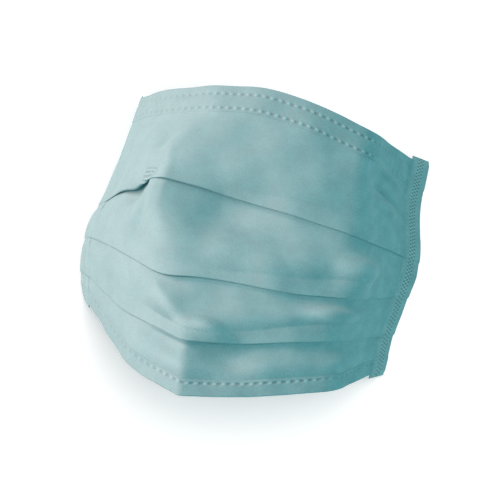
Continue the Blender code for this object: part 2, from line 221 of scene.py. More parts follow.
# %% Forms in the cloth
# place across and down in shares, then length, width above and below in mm, turn in degrees
# and height in mm
FORMS = {
    "pinch at the left ridge": (0.258, 0.362, 2.4, 6.0, 4.0, 0, 1.2),
    "hollow in the wedge": (0.190, 0.410, 5.0, 4.0, 4.0, -12, -2.6),
    "valley left of the ridge": (0.160, 0.520, 3.5, 8.0, 10.0, 12, -1.8),
    "ridge of the second panel": (0.245, 0.470, 3.0, 10.0, 10.0, 18, 1.5),
    "hollow right of the ridge": (0.440, 0.440, 12.0, 32.0, 13.0, 90, -5.8),
    "fullness in the second panel": (0.560, 0.600, 9.0, 6.0, 5.0, 0, 1.2),
    "fullness at the right of it": (0.780, 0.550, 8.0, 7.0, 7.0, 0, 4.5),
    "lower bulge": (0.475, 0.830, 10.0, 3.0, 4.5, 0, 4.2),
    "fullness at the right of the third panel": (0.745, 0.765, 9.0, 5.5, 5.0, 0, 3.2),
    "hollow right of the lower ridge": (0.530, 0.910, 10.0, 5.0, 6.0, 0, -2.8),
    "hollow of the right side": (0.800, 0.220, 14.0, 14.0, 14.0, 0, -2.0),
    "first streak": (0.850, 0.115, 13.0, 1.5, 1.5, 9, 2.4),
    "second streak": (0.860, 0.175, 13.0, 1.5, 1.8, 8, -2.2),
    "third streak": (0.860, 0.225, 13.0, 1.4, 1.8, 5, 2.4),
}
# length across, length down and height in mm
WAVES = ((27.0, 38.0, 0.22), (-19.0, 29.0, 0.10))
# how far the top edge droops, in mm, and over what width
EDGE_DROOP = 1.3
DROOP_WIDTH = 4.5 * MM
print(len(FORMS), "forms and", len(WAVES), "waves")


def relief(across, down, shares_across, lines_down):
    """Sum of height times hump(x / length) times hump(y / width), where x and y are the
    distances from the form's place turned by its angle, plus sines along slanted waves,
    less an ease down towards the top edge."""
    height_here = np.zeros_like(across)
    for share_across, share_down, length, above, below, angle, height in FORMS.values():
        row = np.argmin(np.abs(lines_down - share_down))
        column = np.argmin(np.abs(shares_across - share_across))
        x = (across - across[row, column]) / MM
        y = (down - down[row, column]) / MM
        turn = np.radians(angle)
        along = x * np.cos(turn) + y * np.sin(turn)
        aside = y * np.cos(turn) - x * np.sin(turn)
        width = np.where(aside < 0, above, below)
        height_here += height * hump(along, length) * hump(aside, width)
    for wave_across, wave_down, height in WAVES:
        turns = across / MM / wave_across + down / MM / wave_down
        height_here += height * np.sin(2 * np.pi * turns)
    height_here -= EDGE_DROOP * ease(1 - down / DROOP_WIDTH)
    return height_here * MM


# %% [markdown]
# ## From bends to the arch
# The arch is read on rows down the cloth. On every row the bends are joined by straight runs
# and rounded corners, and each row ends in a straight foot, because the bindings hold it flat.
# The rows go on a little past both edges, because the hems fold round them.

# %% Rows of bends
PAST_EDGE = 8.0 * MM
PAST_SHARE = 0.05


def outward(places, foot_columns):
    """Cross product of the steps down and across, held the same over each foot."""
    normals = unit(np.cross(np.gradient(places, axis=0), np.gradient(places, axis=1)))
    normals[:, 1:foot_columns] = normals[:, :1]
    normals[:, -foot_columns:-1] = normals[:, -1:]
    return normals


def bend_lines(rows_per_panel):
    """Places and reaches of the bends on every row: curves down the cloth through the five
    lines, with the sides dented, a row added past each edge and the feet set on the floor."""
    table = np.stack([ACROSS * HALF_SPAN, UP * SIDE_HEIGHT, RISE * DOME_RISE], axis=-1)
    steps = np.arange((LINES - 1) * rows_per_panel + 1) / rows_per_panel
    lines_down = np.interp(steps, np.arange(LINES), LINES_DOWN)
    bends = curve_through(LINES_DOWN, table.reshape(LINES, -1), lines_down).reshape(-1, BENDS, 3)
    reaches = curve_through(LINES_DOWN, BEND_REACH, lines_down)
    for shift in RIDGE_SHIFTS:
        bends[:, LEFT_RIDGE, 0] += MM * hump_at(lines_down, shift)
    reaches[:, LEFT_RIDGE - 1] *= 1 - hump_at(lines_down, RIDGE_SHARPENED)
    bends[:, :2, 0] += MM * hump_at(lines_down, LEFT_DENT)[:, None]
    bends[:, -2:, 0] -= MM * hump_at(lines_down, RIGHT_DENT)[:, None]
    above = bends[0] + unit(bends[0] - bends[1]) * PAST_EDGE
    below = bends[-1] + unit(bends[-1] - bends[-2]) * PAST_EDGE
    bends = np.concatenate((above[None], bends, below[None]))
    reaches = np.concatenate((reaches[:1], reaches, reaches[-1:]))
    lines_down = np.concatenate(([-PAST_SHARE], lines_down, [1 + PAST_SHARE]))
    for edge, foot in ((0, 1), (-1, -2)):
        inward = unit(bends[:, foot] - bends[:, edge])
        along = unit(np.gradient(bends[:, edge], axis=0))
        tilt = np.abs(unit(np.cross(inward, along))[:, 2])
        bends[:, edge, 2] = FLOOR_GAP + END_GAP * inward[:, 2] + BINDING_REACH * tilt
        bends[:, foot] = bends[:, edge] + FOOT_WIDTH * inward
    bends[:, 2:-2, 2] += BEND_LIFT
    return bends, reaches, lines_down


# %% Points along each row
# a bend's reach stays under this share of the gaps beside it
REACH_LIMIT = 0.48
BEND_POINTS = 25
# place, spread and share taken off the space between columns at the left ridge
CROWDED = (0.30, 0.16, 0.5)


def line_points(bends, reaches, foot_columns, columns):
    """Points on every row: straight runs between the bends, with a parabola at each bend
    from one reach before it to one reach after it, read closer together at the left ridge."""
    share = np.linspace(0.0, 1.0, BEND_POINTS)[None, :, None]
    gaps = np.linalg.norm(np.diff(bends, axis=1), axis=2)
    reaches = np.minimum(reaches, REACH_LIMIT * np.minimum(gaps[:, :-1], gaps[:, 1:]))
    chain = [bends[:, :1]]
    for bend in range(1, bends.shape[1] - 1):
        corner = bends[:, bend]
        reach = reaches[:, bend - 1, None]
        back = corner + reach * unit(bends[:, bend - 1] - corner)
        ahead = corner + reach * unit(bends[:, bend + 1] - corner)
        chain.append((1 - share) ** 2 * back[:, None] + 2 * share * (1 - share) * corner[:, None]
                     + share ** 2 * ahead[:, None])
    chain.append(bends[:, -1:])
    chain = np.concatenate(chain, axis=1)
    known = distances(chain)
    full = known[:, -1:]
    foot = np.linspace(0.0, LIP_WIDTH, foot_columns)[None]
    spacing = 1 - hump_at(np.linspace(0.0, 1.0, columns - 2 * foot_columns - 1), CROWDED)
    middle_share = np.concatenate(([0.0], np.cumsum(spacing))) / spacing.sum()
    middle = FOOT_WIDTH + middle_share * (full - 2 * FOOT_WIDTH)
    wanted = np.concatenate((foot + 0 * full, middle, full - foot[:, ::-1]), axis=1)
    return read_rows(known, chain, wanted)


# %% The opened arch
COLUMNS = 176
# widths beside the bindings over which the pleats open and the relief comes in
OPENING_WIDTH = 0.34 * SIDE_HEIGHT
FREED_WIDTH = 0.12 * SIDE_HEIGHT


def opened_arch(columns, rows_per_panel=96, foot_columns=7):
    """Middle surface of the opened mask, places[column, row], with its normals and distances
    down each column from the top edge. Open says how far the pleats are open at each column,
    and freed how far the cloth is out of its binding."""
    bends, reaches, lines_down = bend_lines(rows_per_panel)
    places = line_points(bends, reaches, foot_columns, columns)
    normals = outward(places, foot_columns)
    middle = places[len(places) // 2]
    along = distances(middle[None])[0]
    away = np.minimum(along, along[-1] - along)
    open_share = ease((away - FOOT_WIDTH) / OPENING_WIDTH)
    freed = ease((away - FOOT_WIDTH) / FREED_WIDTH)
    across = distances(places)
    down = distances(places.swapaxes(0, 1)).T
    height = relief(across, down, along / along[-1], lines_down) * freed
    places = places + normals * height[..., None]
    normals = outward(places, foot_columns)
    down = distances(places.swapaxes(0, 1))
    return {"places": places.swapaxes(0, 1), "normals": normals.swapaxes(0, 1),
            "down": down - down[:, 1:2], "open": open_share, "freed": freed, "bends": bends,
            "across": along - along[-1] / 2, "shares": along / along[-1],
            "rows_per_panel": rows_per_panel}


arch = opened_arch(COLUMNS)
FLAT_WIDTH = arch["across"][-1] - arch["across"][0]
print("line across the middle:", round(FLAT_WIDTH / MM, 1), "mm")

# %% [markdown]
# ## From sections to cloth
# Every cloth piece is the arch raised to some level: a section gives, for each column, how far
# down the cloth each of its points lies and how high it stands over the arch. Solidify then
# gives the sheet its thickness. The UV map holds real distances on the flat cloth, so that
# welds and fibres keep their size through the folds.

# %% Cloth helpers
def raised(arch, lengths, levels):
    """Arch at those distances down each column, plus the normal there times the level."""
    places = read_rows(arch["down"], arch["places"], lengths)
    normals = unit(read_rows(arch["down"], arch["normals"], lengths))
    return places + normals * levels[..., None]


def cloth_piece(name, places, across, down, thickness):
    """Mesh of quads on the grid places[column, step] moved by the centre shift, with
    UV = (across, down) in metres."""
    columns, steps = places.shape[:2]
    corner = np.arange(columns * steps).reshape(columns, steps)
    faces = np.stack((corner[:-1, :-1], corner[:-1, 1:], corner[1:, 1:], corner[1:, :-1]),
                     axis=-1).reshape(-1, 4)
    mesh = bpy.data.meshes.new(name)
    mesh.from_pydata((places.reshape(-1, 3) + centre_shift).tolist(), [], faces.tolist())
    uv = np.stack(np.broadcast_arrays(across, down), axis=-1).reshape(-1, 2)[faces.ravel()]
    mesh.uv_layers.new(name="flat_cloth").data.foreach_set("uv", uv.ravel().astype(np.float32))
    mesh.shade_smooth()
    piece = bpy.data.objects.new(name, mesh)
    bpy.context.collection.objects.link(piece)
    wall = piece.modifiers.new("wall", "SOLIDIFY")
    wall.thickness = thickness
    wall.offset = 0.0
    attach(piece, "root")
    print(name, "has", len(faces), "faces before its wall")
    return piece


# %% [markdown]
# ## Pleats
# A pleat is a Z of three layers: the panel above comes down over the fold, the cloth goes back
# up behind it, and the next panel starts there. Inside the bindings the layers lie flat on each
# other. Towards the middle they stand a little apart, and beside the left ridge they gape,
# which makes the dark wedge there.

# %% Sizes of the pleated body's section
# by panel: how far it stands out, and how far it swings in and out
FULLNESS = np.array([0.0, 1.2, 1.2, 0.8, 0.4]) * MM
BELLY = np.array([0.0, 0.3, 0.9, 0.8, 0.7]) * MM
# groove just under each fold
GUTTER = 0.6 * MM
GUTTER_PLACE = 1.5 * MM
GUTTER_WIDTH = 3.0 * MM
# the front begins at this share across, over that share, and the sides keep this much fullness
FRONT_FROM = 0.27
FRONT_OVER = 0.12
SIDE_FULLNESS = 0.25
# points over the upper margin, the rise and the lower margin of each panel
PANEL_POINTS = {1: (4, 34, 28), 2: (3, 40, 14), 3: (3, 40, 14), 4: (3, 40, 5)}
LAYER_POINTS = 4
# pleat, then place across and spread as shares, then extra height in mm
GAPES = ((0, 0.37, 0.10, 0.5), (0, 0.195, 0.065, 1.1), (0, 0.262, 0.016, -0.9),
         (1, 0.37, 0.05, 0.4), (2, 0.50, 0.06, 0.4))
LEAST_STEP = CLOTH + 0.03 * MM
print(len(GAPES), "gapes in", PLEATS, "pleats")


# %% Section of the pleated body
def turned(length, level, step, way, points=7):
    """Half circle of the step's diameter that ends one step lower."""
    angle = np.linspace(0.0, np.pi, points)[1:-1]
    return (length[:, None] + way * step[:, None] / 2 * np.sin(angle),
            level[:, None] - step[:, None] / 2 + step[:, None] / 2 * np.cos(angle))


def layer_steps(arch):
    """Step between the layers of each pleat at each column: closed step, plus the opened
    part times how open the column is, plus a hump for each gape."""
    steps = np.tile(CLOSED_STEP + (OPEN_STEP - CLOSED_STEP) * arch["open"], (PLEATS, 1))
    for pleat, *gape in GAPES:
        steps[pleat] += MM * hump_at(arch["shares"], gape) * arch["freed"]
    return np.maximum(steps, LEAST_STEP)


def pleated_section(arch):
    """Distances and levels of the folded cloth: each panel keeps level over its margins and
    eases from its lower to its upper level between them, with a parabola for its fullness,
    a sine that is hollow under the fold above and bellied over the fold below, and a hump
    taken off for the gutter just under the fold."""
    marks = arch["down"][:, 1:-1:arch["rows_per_panel"]]
    open_share = arch["open"]
    front_share = (open_share * ease((arch["shares"] - FRONT_FROM) / FRONT_OVER))[:, None]
    fullness_share = SIDE_FULLNESS * open_share[:, None] + (1 - SIDE_FULLNESS) * front_share
    steps = layer_steps(arch)
    depth = (CLOTH_HEIGHT - marks[:, -1]) / (2 * PLEATS)
    zero = np.zeros_like(depth)
    layer = np.linspace(0.0, 1.0, LAYER_POINTS)[None]
    lengths, levels = [], []
    start, low, top_flat = zero, zero, zero + TOP_HEM_WIDTH
    for panel in range(1, PLEATS + 2):
        fold = marks[:, panel]
        last = panel == PLEATS + 1
        upper, share, lower = (np.linspace(0.0, 1.0, count)[None]
                               for count in PANEL_POINTS[panel])
        step = zero if last else steps[panel - 1]
        low_flat = zero + BOTTOM_HEM_WIDTH if last else depth + (step + CLOTH) / 2
        run = (fold - start - top_flat - low_flat)[:, None]
        gutter = (hump(run * share - GUTTER_PLACE, GUTTER_WIDTH)
                  * ease(run * share / GUTTER_PLACE) * (panel > 1))
        rise = (low[:, None] + (step - low)[:, None] * ease(share)
                + FULLNESS[panel] * fullness_share * 4 * share * (1 - share)
                - BELLY[panel] * front_share * np.sin(2 * np.pi * share)
                - GUTTER * front_share * gutter)
        lengths += [start[:, None] + top_flat[:, None] * upper[:, :-1],
                    (start + top_flat)[:, None] + run * share,
                    fold[:, None] - low_flat[:, None] * lower[:, -2::-1]]
        levels += [low[:, None] + 0 * upper[:, :-1], rise, step[:, None] + 0 * lower[:, :-1]]
        if last:
            break
        inner = fold - depth
        front_turn = turned(fold, step, step, 1)
        back_turn = turned(inner, zero, step, -1)
        lengths += [front_turn[0], fold[:, None] - depth[:, None] * layer, back_turn[0]]
        levels += [front_turn[1], 0 * layer + zero[:, None], back_turn[1]]
        start, low, top_flat = inner, -step, depth + (step + CLOTH) / 2
    return np.concatenate(lengths, axis=1), np.concatenate(levels, axis=1)


# %% The pleated body
lengths, levels = pleated_section(arch)
body_places = raised(arch, lengths, levels)
body_low, body_high = (np.array(corner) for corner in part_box("pleated_body"))
centre_shift = (body_low + body_high) / 2 - (body_places.min((0, 1)) + body_places.max((0, 1))) / 2
centre_shift[2] = 0.0
body = cloth_piece("body_cloth", body_places, arch["across"][:, None], distances(body_places),
                   CLOTH)
print("moved by", np.round(centre_shift / MM, 2), "mm to stand where the packed part does")

# %% [markdown]
# ## Hems
# A strip folded over the top edge holds the nose strip in a pocket between two rows of welds,
# and a narrower one folded over the bottom edge has one row. A weld presses the layers
# together, so each mark is a small dent with the cloth puffed up around it. Both strips have a
# finer grid than the body, because the marks are pressed into the mesh itself.

# %% A hem's marks and section
WELD_PITCH = 3.6 * MM
WELD_LENGTH = 2.3 * MM
WELD_WIDTH = 1.1 * MM
WELD_DEPTH = 0.35 * MM
PUFF_SHARE = 0.2
# rows of marks, by their distance from the edge
TOP_ROWS = (3.6 * MM, 10.2 * MM)
BOTTOM_ROWS = (4.9 * MM,)
POCKET_HEIGHT = 0.35 * MM
POCKET_WIDTH = 1.9 * MM
# the leaf's tip starts to sink this far past the last row, and ends this far under the arch
TIP_PAST_ROW = 1.0 * MM
TIP_DEPTH = 0.03 * MM


def weld_marks(across, from_edge, rows):
    """1 inside a mark and 0 outside: a hump along each mark times a hump across its row, less
    a share of the row's own hump, so that the cloth puffs up between two marks."""
    place = (across / WELD_PITCH) % 1.0 - 0.5
    along = hump(place * WELD_PITCH, WELD_LENGTH / 2) - PUFF_SHARE
    return sum(along * hump(from_edge - row, WELD_WIDTH / 2) for row in rows)


def hem_section(arch, width, at_bottom, leaf_points, rows, pocket):
    """Distances and levels of a strip: down its front leaf, half round the edge, back along.
    The leaf lies close at its tip, stands over the pocket and sinks in at the weld marks."""
    way = 1 if at_bottom else -1
    edge = arch["down"][:, -2] if at_bottom else np.zeros(len(arch["down"]))
    from_edge = width * np.linspace(1.0, 0.0, leaf_points)[None]
    leaf = edge[:, None] - way * from_edge
    marks = weld_marks(arch["across"][:, None], from_edge, rows)
    tip = rows[-1] + TIP_PAST_ROW
    close = (HEM_LEVEL + TIP_DEPTH) * ease((from_edge - tip) / (width - tip))
    stands = pocket * hump(from_edge - np.mean(rows), POCKET_WIDTH) * arch["open"][:, None]
    level = HEM_LEVEL + stands - WELD_DEPTH * marks - close
    edge_level = np.full(len(edge), HEM_LEVEL)
    around = turned(edge, edge_level, 2 * edge_level, way)
    lengths = np.concatenate((leaf, around[0], leaf[:, ::-1]), axis=1)
    levels = np.concatenate((level, around[1], -level[:, ::-1]), axis=1)
    from_edge = np.concatenate((from_edge, 0 * around[0][:1], -from_edge[:, ::-1]), axis=1)
    return lengths, levels, from_edge


# %% Both hems
FINE_COLUMNS = 440
TOP_LEAF_POINTS = 30
BOTTOM_LEAF_POINTS = 20


def hem_piece(name, width, at_bottom, leaf_points, rows, pocket):
    """The strip's section raised over the fine arch, its columns turned so it faces outward."""
    lengths, levels, from_edge = hem_section(fine_arch, width, at_bottom, leaf_points, rows,
                                             pocket)
    places = raised(fine_arch, lengths, levels)
    if not at_bottom:
        places = places[:, ::-1]
        from_edge = from_edge[:, ::-1]
    return cloth_piece(name, places, fine_arch["across"][:, None], from_edge, HEM_CLOTH)


fine_arch = opened_arch(FINE_COLUMNS, foot_columns=14)
top_hem = hem_piece("top_hem_strip", TOP_HEM_WIDTH, False, TOP_LEAF_POINTS, TOP_ROWS,
                    POCKET_HEIGHT)
bottom_hem = hem_piece("bottom_hem_strip", BOTTOM_HEM_WIDTH, True, BOTTOM_LEAF_POINTS,
                       BOTTOM_ROWS, 0.0)

# %% [markdown]
# ## Side bindings
# Each side is held by a strip folded over it and welded through. Its section is a narrow U,
# carried along the side. It is thick where a pleat or a hem lies inside it and thin between
# them, and it is pressed flat past both ends of the cloth.

# %% What lies inside a binding
SAMPLING = 0.1 * MM
SMOOTHED_SAMPLES = 21
# how far each leaf stays from the arch past the cloth's ends, and its room over the cloth
PRESSED_REACH = 0.02 * MM
LEAF_ROOM = 0.06 * MM


def stack_at(stations, marks, depth):
    """How far the cloth in the binding reaches up and down at each station: one layer that
    climbs from the lower to the upper level of its panel, three layers over each pleat, the
    hem's leaves over both ends, and almost nothing past them, all smoothed along the side."""
    fine = np.arange(stations[0], stations[-1], SAMPLING)
    end = marks[-1]
    hem_reach = HEM_LEVEL + HEM_CLOTH / 2
    folds = marks[1:-1]
    turns = np.stack((folds - depth, folds), axis=1).ravel()
    places = np.concatenate(([TOP_HEM_WIDTH], turns, [end - BOTTOM_HEM_WIDTH]))
    climbs = np.concatenate(([0.0], np.tile([CLOSED_STEP, -CLOSED_STEP], PLEATS), [0.0]))
    climb = np.interp(fine, places, climbs)
    up, down = climb + CLOTH / 2, CLOTH / 2 - climb
    stacked = sum((fine > fold - depth) & (fine < fold) for fold in folds) > 0
    hemmed = (fine < TOP_HEM_WIDTH) | (fine > end - BOTTOM_HEM_WIDTH)
    past = (fine < -hem_reach) | (fine > end + hem_reach)
    for reach in (up, down):
        reach[stacked] = CLOSED_STEP + CLOTH / 2
        reach[hemmed] = np.maximum(reach[hemmed], hem_reach)
        reach[past] = PRESSED_REACH
    window = np.hanning(SMOOTHED_SAMPLES)
    window = window / window.sum()
    smooth = [np.convolve(np.pad(reach, SMOOTHED_SAMPLES // 2, mode="edge"), window, mode="valid")
              for reach in (up, down)]
    return [np.interp(stations, fine, reach) + LEAF_ROOM for reach in smooth]


# %% Both bindings
STATIONS = 300
LEAF_POINTS = 26
ROUND_POINTS = 9
# how far the leaves' tips are pressed down, and over what width
PRESSED_DEPTH = BINDING_CLOTH + 0.14 * MM
PRESSED_WIDTH = 2.5 * MM


def binding_piece(name, side):
    """U section of half height h: leaf, half circle of radius h, leaf, carried along the side.
    The section follows what lies inside, and its tips are pressed into the cloth."""
    edge_column = 0 if side == "left" else -1
    foot_column = 1 if side == "left" else -2
    known = arch["down"][edge_column][None]
    marks = arch["down"][edge_column, 1:-1:arch["rows_per_panel"]]
    past = HEM_LEVEL + HEM_CLOTH / 2 + BINDING_OVERHANG
    stations = np.linspace(-past, marks[-1] + past, STATIONS)
    edges = arch["bends"][:, edge_column]
    inward = unit(arch["bends"][:, foot_column] - edges)
    edges = read_rows(known, edges[None], stations[None])[0]
    inward = unit(read_rows(known, inward[None], stations[None])[0])
    normals = unit(read_rows(known, arch["normals"][edge_column][None], stations[None])[0])
    depth = (CLOTH_HEIGHT - marks[-1]) / (2 * PLEATS)
    upper, lower = ((reach + BINDING_CLOTH / 2)[:, None]
                    for reach in stack_at(stations, marks, depth))
    half, middle = (upper + lower) / 2, (upper - lower) / 2
    leaf = np.linspace(BINDING_WIDTH, 0.0, LEAF_POINTS)[None] - END_GAP
    angle = np.linspace(0.0, np.pi, ROUND_POINTS)[1:-1]
    reach = np.concatenate((leaf + 0 * half, -END_GAP - half * np.sin(angle),
                            leaf[:, ::-1] + 0 * half), axis=1)
    pressed = PRESSED_DEPTH * ease((leaf - leaf[0, 0]) / PRESSED_WIDTH + 1.0)
    level = np.concatenate((upper - pressed, middle + half * np.cos(angle),
                            pressed[:, ::-1] - lower), axis=1)
    places = (edges[:, None] + inward[:, None] * reach[..., None]
              + normals[:, None] * level[..., None])
    around = distances(places[:1])
    from_fold = around - around[:, -1:] / 2
    if side == "left":
        places = places[::-1]
        stations = stations[::-1]
    return cloth_piece(name, places, from_fold, stations[:, None], BINDING_CLOTH)


left_binding = binding_piece("left_binding_strip", "left")
right_binding = binding_piece("right_binding_strip", "right")
bindings = (left_binding, right_binding)

# %% [markdown]
# ## Non-woven cloth
# The cloth is a web of fine fibres pressed together, not a weave. Close up it is a mottled
# grain with a lattice of tiny bond points. All pieces share it, so it is a node group: it
# takes a place on the flat cloth and puts out a shade and a height.

# %% Node tools
def add_node(tree, kind, **values):
    """New node of that kind; each value sets the socket or the property of that name."""
    made = tree.nodes.new(kind)
    for name, value in values.items():
        socket_name = name.replace("_", " ").title()
        if socket_name in made.inputs:
            made.inputs[socket_name].default_value = value
        else:
            setattr(made, name, value)
    return made


def group_node(tree, group):
    """New node that shows the group."""
    made = tree.nodes.new("ShaderNodeGroup")
    made.node_tree = group
    return made


def feed(tree, socket, value):
    """Links a socket to the input, or sets the input to a number."""
    if isinstance(value, bpy.types.NodeSocket):
        tree.links.new(value, socket)
    else:
        socket.default_value = value


def math(tree, operation, first, second=0.0):
    """Result of a Math node."""
    made = tree.nodes.new("ShaderNodeMath")
    made.operation = operation
    feed(tree, made.inputs[0], first)
    feed(tree, made.inputs[1], second)
    return made.outputs[0]


def times(tree, product, *others):
    """Product of the values, by one Math node each."""
    for other in others:
        product = math(tree, "MULTIPLY", product, other)
    return product


def fade(tree, value, start, end, low=0.0, high=1.0):
    """Smooth Map Range from low at start to high at end."""
    made = tree.nodes.new("ShaderNodeMapRange")
    made.interpolation_type = "SMOOTHSTEP"
    for name, number in (("Value", value), ("From Min", start), ("From Max", end),
                         ("To Min", low), ("To Max", high)):
        feed(tree, made.inputs[name], number)
    return made.outputs["Result"]


def new_group(name, inputs, outputs):
    """Empty shader group with its sockets, and its input and output nodes."""
    group = bpy.data.node_groups.new(name, "ShaderNodeTree")
    for socket, kind, default in inputs:
        made = group.interface.new_socket(socket, in_out="INPUT", socket_type=kind)
        if default is not None:
            made.default_value = default
    for socket, kind in outputs:
        group.interface.new_socket(socket, in_out="OUTPUT", socket_type=kind)
    return group, group.nodes.new("NodeGroupInput"), group.nodes.new("NodeGroupOutput")


# %% The non-woven web
GRAIN_SIZE = 0.7 * MM
CLOUDS_PER_METRE = 160.0
BONDS_PER_METRE = 720.0
# distances, in bonds, over which a bond point fades out
BOND_EDGE = (0.18, 0.34)
GRAIN_SHARE = 0.55
BOND_SHADE = 0.02
BOND_DEPTH = 0.10


def nonwoven_group():
    """Shade = grain and clouds of the web; Height = grain, less the bond points."""
    group, given, result = new_group(
        "non-woven web",
        [("Place", "NodeSocketVector", None), ("Grain Size", "NodeSocketFloat", GRAIN_SIZE)],
        [("Shade", "NodeSocketFloat"), ("Height", "NodeSocketFloat")])
    per_grain = math(group, "DIVIDE", 1.0, given.outputs["Grain Size"])
    grain = add_node(group, "ShaderNodeTexNoise", detail=4.0, roughness=0.6)
    clouds = add_node(group, "ShaderNodeTexNoise", scale=CLOUDS_PER_METRE, detail=3.0,
                      roughness=0.6)
    bonds = add_node(group, "ShaderNodeTexVoronoi", scale=BONDS_PER_METRE, randomness=0.0)
    turn = add_node(group, "ShaderNodeMapping", rotation=(0.0, 0.0, np.radians(45)))
    feed(group, grain.inputs["Scale"], per_grain)
    feed(group, turn.inputs["Vector"], given.outputs["Place"])
    for texture in (grain, clouds):
        feed(group, texture.inputs["Vector"], given.outputs["Place"])
    feed(group, bonds.inputs["Vector"], turn.outputs["Vector"])
    bond = fade(group, bonds.outputs["Distance"], *BOND_EDGE, 1.0, 0.0)
    shade = math(group, "ADD", times(group, grain.outputs["Fac"], GRAIN_SHARE),
                 times(group, clouds.outputs["Fac"], 1 - GRAIN_SHARE))
    shade = math(group, "SUBTRACT", shade, times(group, bond, BOND_SHADE))
    height = math(group, "SUBTRACT", grain.outputs["Fac"], times(group, bond, BOND_DEPTH))
    feed(group, result.inputs["Shade"], shade)
    feed(group, result.inputs["Height"], height)
    return group


nonwoven = nonwoven_group()

# %% Rows of weld marks
# shares of a mark's half size over which it fades out
MARK_EDGE = (0.6, 1.2)


def weld_row_group():
    """Pressed = 1 in the marks of a row: faded by the distance along from the middle of each
    mark, and by the distance from the row. Painted Highlight = 1 in the row between two marks,
    where the raised cloth gets a painted highlight."""
    group, given, result = new_group(
        "weld row",
        [("Along", "NodeSocketFloat", 0.0), ("From Edge", "NodeSocketFloat", 0.0),
         ("Row", "NodeSocketFloat", 0.0), ("Pitch", "NodeSocketFloat", WELD_PITCH),
         ("Length", "NodeSocketFloat", WELD_LENGTH), ("Width", "NodeSocketFloat", WELD_WIDTH)],
        [("Pressed", "NodeSocketFloat"), ("Painted Highlight", "NodeSocketFloat")])
    turns = math(group, "FRACT", math(group, "DIVIDE", given.outputs["Along"],
                                      given.outputs["Pitch"]))
    along = times(group, math(group, "ABSOLUTE", math(group, "SUBTRACT", turns, 0.5)),
                  given.outputs["Pitch"])
    aside = math(group, "ABSOLUTE", math(group, "SUBTRACT", given.outputs["From Edge"],
                                         given.outputs["Row"]))
    masks = []
    for distance, size in ((along, given.outputs["Length"]), (aside, given.outputs["Width"])):
        share = math(group, "DIVIDE", distance, times(group, size, 0.5))
        masks.append(fade(group, share, *MARK_EDGE, 1.0, 0.0))
    feed(group, result.inputs["Pressed"], times(group, *masks))
    between = math(group, "SUBTRACT", 1.0, masks[0])
    feed(group, result.inputs["Painted Highlight"], times(group, between, masks[1]))
    return group


weld_row = weld_row_group()

# %% Puckers at a pinch
PUCKER_PITCH = 2.0 * MM
PUCKER_TURN = np.radians(12)
# distances from the pinch over which the puckers fade out
PUCKER_LENGTH = (2.2 * MM, 4.6 * MM)
PUCKER_WIDTH = (3.6 * MM, 6.0 * MM)


def pucker_group():
    """Fold = sine across the puckers, -1 to 1, faded by the distance along and aside from the
    pinch, where both directions are turned from the cloth's own."""
    group, given, result = new_group(
        "pinch puckers",
        [("Across", "NodeSocketFloat", 0.0), ("Down", "NodeSocketFloat", 0.0),
         ("Pitch", "NodeSocketFloat", PUCKER_PITCH)],
        [("Fold", "NodeSocketFloat")])
    x, y = given.outputs["Across"], given.outputs["Down"]
    along = math(group, "ADD", times(group, x, np.cos(PUCKER_TURN)),
                 times(group, y, np.sin(PUCKER_TURN)))
    aside = math(group, "SUBTRACT", times(group, y, np.cos(PUCKER_TURN)),
                 times(group, x, np.sin(PUCKER_TURN)))
    turns = math(group, "DIVIDE", aside, given.outputs["Pitch"])
    wave = math(group, "SINE", times(group, turns, 2 * np.pi))
    near = times(group, fade(group, math(group, "ABSOLUTE", along), *PUCKER_LENGTH, 1.0, 0.0),
                 fade(group, math(group, "ABSOLUTE", aside), *PUCKER_WIDTH, 1.0, 0.0))
    feed(group, result.inputs["Fold"], times(group, wave, near))
    return group


puckers = pucker_group()

# %% [markdown]
# ## Finishes
# The three finishes are the same teal web. The hem carries its weld marks, and the binding
# carries a band of small weld dots beside a plain outer band. The cloth between the marks and
# dots is painted paler, a painted highlight on the raised cloth, and the puckers at the pinch
# carry a painted highlight on their crests and painted shade between them. A picture of the
# cloth would blur close up, so shades and marks are worked out from distances on the flat
# cloth. The gloss is very rough, and its IOR is high so that a weaker light gives the pale veil
# on the left: a stronger one burns out the view from the right.

# %% Shades, strengths and heights
THIN_SHADE = (0.046, 0.244, 0.267, 1.0)
DENSE_SHADE = (0.021, 0.188, 0.211, 1.0)
# the weld marks' own darker tone; on the puckers it is painted shade in the grooves
WELD_MARK_AND_PAINTED_GROOVE_SHADE = (0.005, 0.120, 0.140, 1.0)
# painted highlight: the paler shade painted on the raised cloth between weld marks and dots, and on
# the puckers' crests
PAINTED_HIGHLIGHT_SHADE = (0.161, 0.431, 0.451, 1.0)
BINDING_THIN_SHADE = (0.080, 0.280, 0.301, 1.0)
BINDING_DENSE_SHADE = (0.051, 0.222, 0.243, 1.0)
BODY_ROUGHNESS = 0.85
STRIP_ROUGHNESS = 0.86
FIBRE_IOR = 1.8
# where the web goes from its dense to its thin shade
WEB_CONTRAST = (0.38, 0.62)
WEB_HEIGHT = 0.10 * MM
MARK_STRENGTH = 0.85
# how strongly the painted highlight between the marks shows
PAINTED_HIGHLIGHT_STRENGTH = 0.40
MARK_SINK = 0.10 * MM
# what is left of the marks past the left and the right end of where they show
LEFT_OVER, RIGHT_OVER = 0.25, 0.1
# metres across, past both ends of every piece
EVERYWHERE = ((-1.0, -0.9), (0.9, 1.0))
PUCKER_HEIGHT = 0.45 * MM


def mixed(tree, factor, first, second):
    """Colour between the first and the second."""
    made = tree.nodes.new("ShaderNodeMix")
    made.data_type = "RGBA"
    feed(tree, made.inputs["Factor"], factor)
    feed(tree, made.inputs["A"], first)
    feed(tree, made.inputs["B"], second)
    return made.outputs["Result"]


